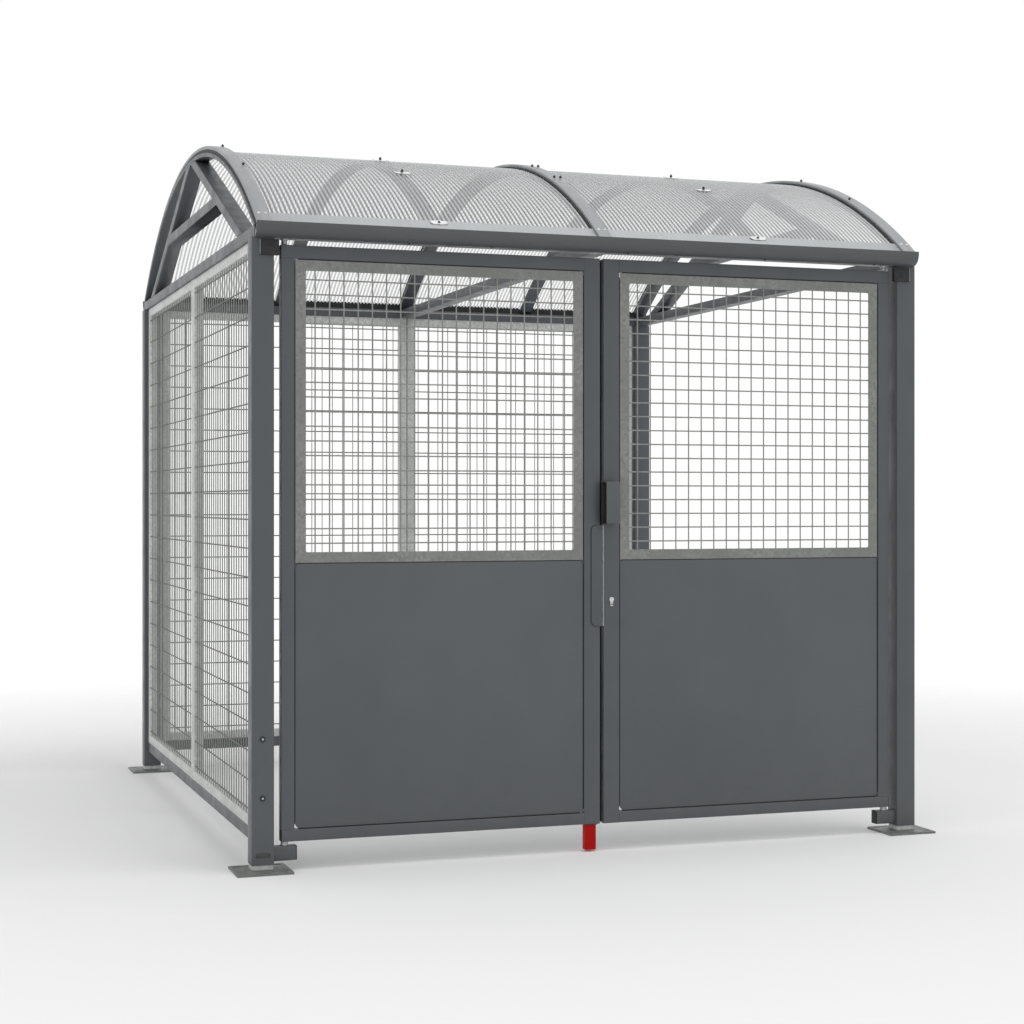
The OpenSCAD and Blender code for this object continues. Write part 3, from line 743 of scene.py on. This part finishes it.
leaf = {"hingeStile": 0.045, "meetStile": 0.06, "topRail": 0.045, "bottomRail": 0.04, "middleRail": 0.04,
        "round": 0.0018, "railRound": 0.003, "ledge": 0.014, "ledgeThick": 0.004, "ledgeRound": 0.0006,
        "notch": 0.022, "groove": 0.0037, "endCap": 0.002, "capIn": 0.0006, "sheetThick": 0.003,
        "sheetCorner": 0.0095, "sheetRim": 0.0007}
topEdgeStrip = {"thick": 0.0008, "deep": (0.001, 0.024), "tall": 0.046}
gapShadeStrip = {"out": 0.0042, "in": 0.0002, "back": (0.011, 0.004), "shy": 0.004}
brightEdgeStrip = {"out": 0.0012, "in": 0.0002, "deep": (0.0006, 0.032)}


def bothEnds(first, last, reach):
    return (first, first + reach), (last - reach, last)


def buildLeaf(side):
    sign = -1 if side == "left" else 1
    a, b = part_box(side + "_door_frame")
    hingeX = a.x if sign < 0 else b.x
    body = side + "_leaf"
    size = leaf
    toMeet = -sign

    def x(distance):
        return hingeX + toMeet * distance

    wide = b.x - a.x
    bm = bmesh.new()
    inner0, inner1 = x(size["hingeStile"]), x(wide - size["meetStile"])
    low, top = a.z + size["bottomRail"], b.z - size["topRail"]
    for x0, x1, z, along in ((x(0), inner0, (low, top), 2), (inner1, x(wide), (a.z, b.z), 2),
                             (x(size["endCap"]), inner1, (a.z, low), 0), (x(0), inner1, (top, b.z), 0)):
        addAcross(bm, x0, x1, (a.y, b.y), z, size["round"], 3, along)
    # black end cap in the bottom rail, and a thin black strip on the hinge edge at the top corner, darkening
    # that edge
    shy = size["capIn"]
    addAcross(bm, x(0), x(size["endCap"]), (a.y + shy, b.y - shy), (a.z + shy, low - shy), 0.0008, 2, None, 1)
    near, far = topEdgeStrip["deep"]
    addAcross(bm, x(0), x(-topEdgeStrip["thick"]), (a.y + near, a.y + far), (b.z - topEdgeStrip["tall"], b.z),
              0.0003, 1, None, 1)
    meshBox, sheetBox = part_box(side + "_door_mesh"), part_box(side + "_door_panel")
    back = meshBox[1].y
    jointZ = (meshBox[0].z + sheetBox[1].z) / 2
    half = size["middleRail"] / 2
    addAcross(bm, inner0, inner1, (back + 0.0003, b.y), (jointZ - half, jointZ + half),
              size["railRound"], 3, 0)

    # ledges behind each infill, and black strips that line the groove round it: painted shade in the groove
    ledgeDeep = (back + 0.0002, back + size["ledgeThick"])
    notch, shortNotch = size["notch"], size["notch"] * 0.6
    for box in (meshBox, sheetBox):
        for e0, e1 in bothEnds(inner0, inner1, toMeet * size["ledge"]):
            addAcross(bm, e0, e1, ledgeDeep, (box[0].z + notch, box[1].z - notch), size["ledgeRound"], 3, 2)
        for e0, e1 in bothEnds(inner0, inner1, toMeet * size["groove"]):
            addAcross(bm, e0, e1, (back - 0.0012, back + 0.0004),
                      (box[0].z + shortNotch, box[1].z - shortNotch), 0, 1, None, 1)
    # black strips along the rails' grooves and the joint between the infills: painted shade
    for z in bothEnds(low, top, size["groove"]) + ((jointZ - 0.0015, jointZ + 0.0015),):
        addAcross(bm, inner0 + toMeet * shortNotch, inner1 - toMeet * shortNotch,
                  (back - 0.0012, back + 0.0006), z, 0, 1, None, 1)
    for z in bothEnds(low, top, size["ledge"]):
        addAcross(bm, inner0 + toMeet * notch, inner1 - toMeet * notch, ledgeDeep, z,
                  size["ledgeRound"], 3, 0)
    if sign > 0:
        # black strip down the back of the meeting edge: painted shade that keeps the gap between the leaves
        # dark
        meet, strip = hingeX - wide, gapShadeStrip
        far, near = strip["back"]
        addBar(bm, (meet - strip["out"], b.y - far, a.z + strip["shy"]),
               (meet + strip["in"], b.y - near, b.z - strip["shy"]), 0.0008, 2, None, 1)
        # bright strip on the meeting edge, beside the other leaf's cover plate
        plateSpan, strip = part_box("lock_cover_plate"), brightEdgeStrip
        near, far = strip["deep"]
        addBar(bm, (meet - strip["out"], a.y + near, plateSpan[0].z),
               (meet + strip["in"], a.y + far, plateSpan[1].z), 0.0002, 1, None, 2)
    finishes = [paint, blackPlastic, saddleWhite]
    finishPiece(side + "GateFrame", bm, finishes, body, [side + "_door_frame"], 35)

    # lower infill sheet with cut corners
    p, q, thick = sheetBox[0], sheetBox[1], size["sheetThick"]
    bm = bmesh.new()
    made = bmesh.ops.create_cube(bm, size=1.0)["verts"]
    bmesh.ops.scale(bm, vec=(q.x - p.x, thick, q.z - p.z), verts=made)
    bmesh.ops.translate(bm, vec=((p.x + q.x) / 2, q.y - thick / 2, (p.z + q.z) / 2), verts=made)
    bevelEdges(bm, [e for e in bm.edges if runsAlong(e, 1)], size["sheetCorner"], 1)
    bevelEdges(bm, [e for e in bm.edges if not runsAlong(e, 1)], size["sheetRim"])
    finishPiece(side + "GateSheet", bm, sheetPaint, body, [side + "_door_panel"], 35)

    # upper infill: a flat frame with rounded inner corners, and a square mesh welded behind its face
    buildMeshInfill(side, meshBox, body)


infill = {"bar": 0.036, "round": 0.006, "face": 0.003, "wire": 0.0024, "pitch": 0.05, "buried": 0.006,
          "plane": 0.002, "sunk": 0.0005}


def buildMeshInfill(side, meshBox, body):
    size = infill
    a, b = meshBox
    middle = (a + b) / 2
    bm = bmesh.new()
    rim = bmesh.ops.create_grid(bm, x_segments=1, y_segments=1, size=0.5)["verts"]
    bmesh.ops.scale(bm, vec=(b.x - a.x, b.z - a.z, 1), verts=rim)
    window = bmesh.ops.create_grid(bm, x_segments=1, y_segments=1, size=0.5)["verts"]
    bmesh.ops.scale(bm, vec=(b.x - a.x - 2 * size["bar"], b.z - a.z - 2 * size["bar"], 1), verts=window)
    bmesh.ops.bevel(bm, geom=window, offset=size["round"], offset_type="OFFSET", affect="VERTICES",
                    segments=6, profile=0.5, material=-1)
    bmesh.ops.delete(bm, geom=list(bm.faces), context="FACES_ONLY")
    bmesh.ops.triangle_fill(bm, use_beauty=True, use_dissolve=False, edges=list(bm.edges))
    made = bmesh.ops.extrude_face_region(bm, geom=list(bm.faces))["geom"]
    bmesh.ops.translate(bm, vec=(0, 0, size["face"]), verts=onlyVerts(made))
    bmesh.ops.rotate(bm, cent=(0, 0, 0), matrix=Matrix.Rotation(math.radians(90), 3, "X"), verts=bm.verts)
    bmesh.ops.translate(bm, vec=(middle.x, a.y + size["face"], middle.z), verts=bm.verts)
    bmesh.ops.recalc_face_normals(bm, faces=bm.faces)
    bar, r = size["bar"], size["wire"]
    reach = bar - size["buried"]
    level = a.y + size["plane"] - size["sunk"] + r
    for u in wirePlaces(a.x + bar, b.x - bar, size["pitch"]):
        addRod(bm, (u, level, a.z + reach), (u, level, b.z - reach), r, 8, 1)
    for z in wirePlaces(a.z + bar, b.z - bar, size["pitch"]):
        addRod(bm, (a.x + reach, level, z), (b.x - reach, level, z), r, 8, 1)
    finishPiece(side + "GateMesh", bm, [zinc, zincWire], body, [side + "_door_mesh"], 35)


buildLeaf("left")
buildLeaf("right")
print("gates built")


# hinges

hinge = {"leafGap": 0.0003, "tubeRound": 0.005, "plug": 0.004, "plugIn": 0.0004, "armLong": 0.081,
         "armTall": 0.05, "armDrop": 0.014, "collar": 0.013, "ring": 0.0122, "ringTall": 0.004,
         "sleeve": 0.010, "pin": 0.0058, "socket": (0.0135, 0.0145), "socketTall": 0.004}
cornerBlock = {"out": 0.05, "in": 0.016, "thick": 0.0078, "gap": 0.0003, "side": (0.004, 0.020),
               "round": 0.0016, "edge": 0.004}


def buildHinge(side):
    sign = -1 if side == "left" else 1
    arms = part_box("bottom_pivots")
    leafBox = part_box(side + "_door_frame")
    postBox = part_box("front_" + side + "_post")
    postSide = postBox[1].x if sign < 0 else postBox[0].x
    pivot = Vector(next(j for j in frame["joints"] if j["name"] == side + "_gate_hinge")["pos_m"])

    def addPin(z0, z1, radius, sides, slotIndex, radius2=None):
        addRod(bm, (pivot.x, pivot.y, z0), (pivot.x, pivot.y, z1), radius, sides, slotIndex, radius2)

    def once(node):
        # each of these nodes holds both sides, so only the left piece says that it replaces it
        return [node] if sign < 0 else []

    # arm of square tube with a black plug in its end, then a rounded washer collar and pin
    bm = bmesh.new()
    tip = postSide - sign * hinge["armLong"]
    inner = tip + sign * hinge["plug"]
    leafLow, leafTop = leafBox[0].z, leafBox[1].z
    armTop = leafLow - hinge["armDrop"]
    armLow = armTop - hinge["armTall"]
    y0, y1, shy = arms[0].y, arms[1].y, hinge["plugIn"]
    addAcross(bm, postSide, inner, (y0, y1), (armLow, armTop), hinge["tubeRound"], 3, 0)
    addAcross(bm, inner, tip, (y0 + shy, y1 - shy), (armLow + shy, armTop - shy), 0.002, 2, None, 2)
    addPin(armTop, leafLow - hinge["ringTall"], hinge["collar"], 28, 1)
    addPin(leafLow - hinge["ringTall"], leafLow - hinge["leafGap"], hinge["ring"], 28, 1)
    finishes = [paint, screwZinc, blackPlastic]
    finishPiece(side + "BottomPivot", bm, finishes, "frame", once("bottom_pivots"))

    bm = bmesh.new()
    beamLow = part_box("front_eave_beam")[0].z
    addPin(leafTop + 0.003, beamLow, hinge["sleeve"], 28, 0)
    addPin(leafTop - 0.002, leafTop + 0.004, hinge["pin"], 20, 0)
    low, wide = hinge["socket"]
    addPin(beamLow - hinge["socketTall"], beamLow, low, 28, 0, wide)
    finishPiece(side + "TopPivot", bm, [screwZinc], "frame", once("top_pivots"))

    # black block round the post's corner, with a bent metal edge on its far side
    bm = bmesh.new()
    blocks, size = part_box("hinge_blocks"), cornerBlock
    z0, z1, front = blocks[0].z, blocks[1].z, blocks[0].y
    outX, inX = postSide + sign * size["out"], postSide - sign * size["in"]
    near, far = size["side"]
    addAcross(bm, outX, inX, (front, front + size["thick"]), (z0, z1), size["round"], 3)
    addAcross(bm, postSide - sign * size["gap"], inX, (front + near, front + far), (z0, z1), size["round"], 3)
    addAcross(bm, outX, outX - sign * size["edge"], (front, front + size["thick"]), (z0 + 0.001, z1 - 0.001),
              0.0008, 2, None, 1)
    finishes = [blackPlastic, screwZinc]
    finishPiece(side + "HingeBlock", bm, finishes, "frame", once("hinge_blocks"))


buildHinge("left")
buildHinge("right")
print("hinges built")


# handle, lock and drop bolt

def onSkin(v, a, b):
    return any(min(v.co[i] - a[i], b[i] - v.co[i]) < 1e-5 for i in range(3))


def within(place, a, b, margins):
    return all(a[i] + margins[i] < place[i] < b[i] - margins[i] for i in range(3))


# the pull is a hollow box, open towards the other leaf
pull = {"wall": 0.004, "round": 0.0015, "lip": 0.003, "inside": (0.001, 0.002, 0.002)}
a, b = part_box("door_handle")
bm = bmesh.new()
startBox(bm, a, b)
mouth = min(bm.faces, key=lambda f: f.calc_center_median().x)
bmesh.ops.inset_region(bm, faces=[mouth], thickness=pull["wall"], use_even_offset=True)
pushed = bmesh.ops.extrude_face_region(bm, geom=[mouth])["geom"]
bmesh.ops.translate(bm, vec=(b.x - a.x - pull["wall"], 0, 0), verts=onlyVerts(pushed))
if mouth.is_valid:
    bmesh.ops.delete(bm, geom=[mouth], context="FACES_ONLY")
outer = [e for e in bm.edges if len(e.link_faces) == 2 and e.calc_face_angle(0) > 1.0
         and all(onSkin(v, a, b) for v in e.verts)]
bevelEdges(bm, outer, pull["round"], 3)
# faces inside the pull and round its mouth are black: painted shade in the hollow
for face in bm.faces:
    place = face.calc_center_median()
    shadedFace = within(place, a, b, pull["inside"]) or place.x < a.x + pull["lip"]
    face.material_index = 1 if shadedFace else 0
finishPiece("gateHandle", bm, [sheetPaint, blackPlastic], "right_leaf", ["door_handle"])

coverPlate = {"corner": 0.02, "rim": 0.0008, "shadowRim": 0.0012, "shadowRimBack": 0.0013}
a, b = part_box("lock_cover_plate")
bm = bmesh.new()
startBox(bm, a, b)
leftEdges = [e for e in bm.edges if runsAlong(e, 1) and e.verts[0].co.x < a.x + 0.001]
bevelEdges(bm, leftEdges, coverPlate["corner"], 10)
# a dark rim stands out a little round the plate: painted shadow along its edges
shadowRim, out = bm.copy(), coverPlate["shadowRim"]
bmesh.ops.scale(shadowRim, vec=(1 + 2 * out / (b.x - a.x), 1, 1 + 2 * out / (b.z - a.z)), verts=shadowRim.verts,
                space=Matrix.Translation(-(a + b) / 2))
bmesh.ops.translate(shadowRim, vec=(-out, out, 0), verts=shadowRim.verts)
back = [v for v in shadowRim.verts if v.co.y > b.y]
bmesh.ops.translate(shadowRim, vec=(0, -coverPlate["shadowRimBack"], 0), verts=back)
for face in shadowRim.faces:
    face.material_index = 1
bevelEdges(bm, [e for e in bm.edges if all(v.co.y < a.y + 1e-5 for v in e.verts)], coverPlate["rim"])
mergeInto(bm, shadowRim)
finishPiece("lockCoverPlate", bm, [paint, blackPlastic], "left_leaf", ["lock_cover_plate"])

keyway = {"gap": 0.0012, "plug": 0.0085, "tail": 0.005, "face": 0.0062, "faceOut": 0.0003, "tailIn": 0.0008,
          "slotWide": 0.0018, "slotTall": 0.007}
a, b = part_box("lock_cylinder")
bm = bmesh.new()
x = (a.x + b.x) / 2
plug, tail = keyway["plug"], keyway["tail"]
low, top = a.z + tail, b.z - plug
plugY, tailY = a.y + keyway["faceOut"], a.y + keyway["tailIn"]
addRod(bm, (x, b.y, top), (x, plugY, top), plug, 32, 0)
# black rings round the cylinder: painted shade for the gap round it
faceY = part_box("right_door_frame")[0].y
for z, reach in ((top, plug), (low, tail)):
    addRod(bm, (x, faceY + 0.0004, z), (x, faceY - 0.0003, z), reach + keyway["gap"], 32, 1)
addBar(bm, (x - tail, tailY, low), (x + tail, b.y, top), 0.0004, 2)
addRod(bm, (x, b.y, low), (x, tailY, low), tail, 24, 0)
addRod(bm, (x, plugY, top), (x, a.y, top), keyway["face"], 28, 0)
# the key slot is a black bar: painted shade for its opening
wide, tall = keyway["slotWide"] / 2, keyway["slotTall"] / 2
addBar(bm, (x - wide, a.y, top - tall), (x + wide, a.y + 0.001, top + tall), 0.0002, 1, None, 1)
finishes = [saddleWhite, blackPlastic]
finishPiece("lockCylinder", bm, finishes, "right_leaf", ["lock_cylinder"])

a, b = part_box("drop_bolt")
bm = bmesh.new()
addBar(bm, a, b, 0.002, 3)
finishPiece("dropBolt", bm, boltRed, "drop_bolt", ["drop_bolt"])

# dark guide collar under the leaf, round the bolt
guide = {"out": 0.0035, "back": 0.0025, "gap": 0.0008, "below": 0.0025, "above": 0.0005}
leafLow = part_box("left_door_frame")[0].z
left, right = a.x - guide["out"], b.x + guide["out"]
near, far = a.y - guide["out"], b.y + guide["back"]
gap = guide["gap"]
bm = bmesh.new()
for x0, y0, x1, y1 in ((left, near, right, a.y - gap), (left, b.y + gap, right, far),
                       (left, near, a.x - gap, far), (b.x + gap, near, right, far)):
    addBar(bm, (x0, y0, leafLow - guide["below"]), (x1, y1, leafLow + guide["above"]), 0.0004, 1)
finishPiece("boltGuide", bm, blackPlastic, "left_leaf")
print("handle, lock and drop bolt built")


# small fixings

blank = {"in": 0.0002, "rivetIn": 0.0035, "rivet": 0.0028, "rivetTop": 0.002}
a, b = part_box("blank_plate")
bm = bmesh.new()
addBar(bm, (a.x, a.y + blank["in"], a.z), b, 0.0006, 2)
level = (a.z + b.z) / 2
for edge in (a.x + blank["rivetIn"], b.x - blank["rivetIn"]):
    addRod(bm, (edge, a.y + 0.0004, level), (edge, a.y, level), blank["rivet"], 14, 1, blank["rivetTop"])
finishPiece("blankPlate", bm, [platePaint, blackPlastic], "frame", ["blank_plate"])

fixings = {"boltZ": (0.452, 0.252), "boltIn": 0.037, "ring": 0.0105, "ringOut": 0.0018, "dome": 0.0042,
           "screwZ": 2.136, "screw": 0.004}
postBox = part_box("front_left_post")
x, y = postBox[0].x + fixings["boltIn"], postBox[0].y
ring, dome = fixings["ring"], fixings["dome"]
bm = bmesh.new()
for z in fixings["boltZ"]:
    addRod(bm, (x, y + 0.0005, z), (x, y - fixings["ringOut"], z), ring, 24, 1, ring * 0.94)
    addRod(bm, (x, y - 0.0016, z), (x, y - 0.0042, z), dome, 20, 0, dome * 0.75)
z = fixings["screwZ"]
addRod(bm, (x, y + 0.0005, z), (x, y - 0.0015, z), fixings["screw"], 14, 1, fixings["screw"] * 0.75)
finishPiece("postBolts", bm, [screwZinc, blackPlastic], "frame")

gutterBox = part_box("front_gutter")
gutterScrews = {"x": (-0.72, -0.42, 0.09, 0.63, 1.08), "in": 0.012, "head": 0.0055, "tip": 0.0035,
                "down": 0.0028}
bm = bmesh.new()
for x in gutterScrews["x"]:
    for sign in (-1, 1):
        y = sign * (abs(postBox[0].y) + gutterScrews["in"])
        addRod(bm, (x, y, gutterBox[0].z + 0.001), (x, y, gutterBox[0].z - gutterScrews["down"]),
               gutterScrews["head"], 14, 0, gutterScrews["tip"])
finishPiece("gutterScrews", bm, darkScrew, "frame")

# weld beads round the necks of the feet
neck = {"x": 1.222, "y": 1.387, "half": 0.035, "bead": 0.0028, "beadZ": 0.0088, "sleeve": 0.0005,
        "low": 0.009}
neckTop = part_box("feet")[1].z
bm = bmesh.new()
for sx in (-1, 1):
    for sy in (-1, 1):
        cx, cy, half = sx * neck["x"], sy * neck["y"], neck["half"]
        corners = [Vector((cx + dx * half, cy + dy * half, neck["beadZ"]))
                   for dx, dy in ((-1, -1), (1, -1), (1, 1), (-1, 1))]
        for i in range(4):
            addRod(bm, corners[i], corners[(i + 1) % 4], neck["bead"], 8, 0)
        # the bright sleeve that the post slips over
        reach = half + neck["sleeve"]
        addBar(bm, (cx - reach, cy - reach, neck["low"]), (cx + reach, cy + reach, neckTop - 0.0002),
               0.002, 2, 2, 1)
finishPiece("footWelds", bm, [zinc, wallZinc], "frame")
print("small fixings built")


# floor, lights and camera

stage = {"floorTone": 0.97, "floorSize": 14, "fadeFrom": 2.6, "fadeTo": 6.0, "sky": 0.66, "shown": 1.0}
softLights = {"leftSoftbox": {"place": (-8.5, -1.5, 5.5), "aim": (0, 0, 1.2), "size": 5.0, "power": 60},
              "topSoftbox": {"place": (1.5, -2.5, 9.0), "aim": (0, 0, 1.5), "size": 6.0, "power": 230}}
viewCamera = {"sensor": 36, "lens": 71.425, "shift": (-0.1, -0.0097), "place": (-2.4909, -8.2666, 1.253),
              "tilt": 90, "turn": -20.32}

floorMat, floorTree, floorShader = newFinish("paleFloor", (stage["floorTone"],) * 3, 0.9)
floorShader.inputs["Specular IOR Level"].default_value = 0.05
distance = addNode(floorTree, "VectorMath", operation="LENGTH")
floorTree.links.new(ownPlace(floorTree), distance.inputs[0])
fade = spread(floorTree, distance.outputs["Value"], stage["fadeFrom"], stage["fadeTo"], 1.0, 0.0)
floorTree.links.new(fade, floorShader.inputs["Alpha"])
bm = bmesh.new()
bmesh.ops.create_grid(bm, x_segments=1, y_segments=1, size=stage["floorSize"])
mesh = bpy.data.meshes.new("paleFloor")
bm.to_mesh(mesh)
bm.free()
floor = placeObject("paleFloor", mesh)
mesh.materials.append(floorMat)

# the sky lights at one level and shows plain white behind, in gloss and through clear sheets
world = bpy.data.worlds.new("softSky")
bpy.context.scene.world = world
world.use_nodes = True
skyTree = world.node_tree
sky = skyTree.nodes["Background"]
shown = addNode(skyTree, "Background")
for light, strength in ((sky, stage["sky"]), (shown, stage["shown"])):
    light.inputs["Color"].default_value = (1, 1, 1, 1)
    light.inputs["Strength"].default_value = strength
rays = addNode(skyTree, "LightPath")
anyOf = rays.outputs["Is Camera Ray"]
for kind in ("Is Glossy Ray", "Is Transmission Ray"):
    anyOf = mathNode(skyTree, "MAXIMUM", anyOf, rays.outputs[kind])
choice = addNode(skyTree, "MixShader")
skyTree.links.new(anyOf, choice.inputs[0])
skyTree.links.new(sky.outputs[0], choice.inputs[1])
skyTree.links.new(shown.outputs[0], choice.inputs[2])
skyTree.links.new(choice.outputs[0], skyTree.nodes["World Output"].inputs["Surface"])

for name, lit in softLights.items():
    lamp = bpy.data.lights.new(name, "AREA")
    lamp.shape = "DISK"
    lamp.size = lit["size"]
    lamp.energy = lit["power"]
    holder = placeObject(name, lamp)
    holder.location = lit["place"]
    aim = Vector(lit["aim"]) - Vector(lit["place"])
    holder.rotation_euler = aim.to_track_quat("-Z", "Y").to_euler()

camera = bpy.data.cameras.new("viewCamera")
camera.sensor_width = viewCamera["sensor"]
camera.lens = viewCamera["lens"]
camera.shift_x, camera.shift_y = viewCamera["shift"]
holder = placeObject("viewCamera", camera)
holder.location = viewCamera["place"]
holder.rotation_euler = (math.radians(viewCamera["tilt"]), 0, math.radians(viewCamera["turn"]))
bpy.context.scene.camera = holder
bpy.context.scene.view_settings.view_transform = "Standard"
print("stage set")
